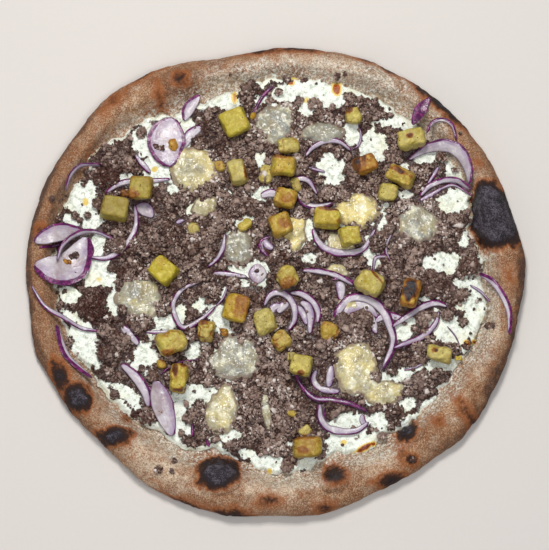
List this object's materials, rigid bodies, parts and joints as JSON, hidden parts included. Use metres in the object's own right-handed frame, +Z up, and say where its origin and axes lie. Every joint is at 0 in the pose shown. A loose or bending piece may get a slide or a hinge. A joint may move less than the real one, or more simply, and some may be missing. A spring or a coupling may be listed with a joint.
{
  "type": "round baked pizza",
  "caption": "Whole round oven-baked pizza with a puffed charred crust, melted white cheese, minced meat, diced roast potatoes and red onion.",
  "frame": {"origin": "centre of the pizza's outline, on the plane that its underside rests on", "axes": "+Z up through the toppings; +X to the right and +Y away from the viewer in the picture"},
  "size_m": [0.3248, 0.3093, 0.0241],
  "materials": {
    "dough": "baked dough, matte, tan with dark blisters",
    "cheese": "melted white cheese, moist and glossy",
    "mince": "browned minced meat, slightly greasy",
    "onion": "soft red onion, pale and translucent with purple edges",
    "potato": "roast potato, golden yellow with browned edges"
  },
  "bodies": {
    "root": {"crust": "dough", "cheese_with_mince": "cheese", "onion_01": "onion", "onion_02": "onion", "onion_03": "onion", "onion_04": "onion", "onion_05": "onion", "onion_06": "onion", "onion_07": "onion", "onion_08": "onion", "onion_09": "onion", "onion_10": "onion", "onion_11": "onion", "onion_12": "onion", "onion_13": "onion", "onion_14": "onion", "onion_15": "onion", "onion_16": "onion", "onion_17": "onion", "onion_18": "onion", "onion_19": "onion", "onion_20": "onion", "onion_21": "onion", "onion_22": "onion", "onion_23": "onion", "onion_24": "onion", "onion_25": "onion", "onion_26": "onion", "onion_27": "onion", "onion_28": "onion", "onion_29": "onion", "onion_30": "onion", "potato_01": "potato", "potato_02": "potato", "potato_03": "potato", "potato_04": "potato", "potato_05": "potato", "potato_06": "potato", "potato_07": "potato", "potato_08": "potato", "potato_09": "potato", "potato_10": "potato", "potato_11": "potato", "potato_12": "potato", "potato_13": "potato", "potato_14": "potato", "potato_15": "potato", "potato_16": "potato", "potato_17": "potato", "potato_18": "potato", "potato_19": "potato", "potato_20": "potato", "potato_21": "potato", "potato_22": "potato", "potato_23": "potato", "potato_24": "potato", "potato_25": "potato", "potato_26": "potato", "potato_27": "potato", "potato_28": "potato"}
  },
  "joints": []
}
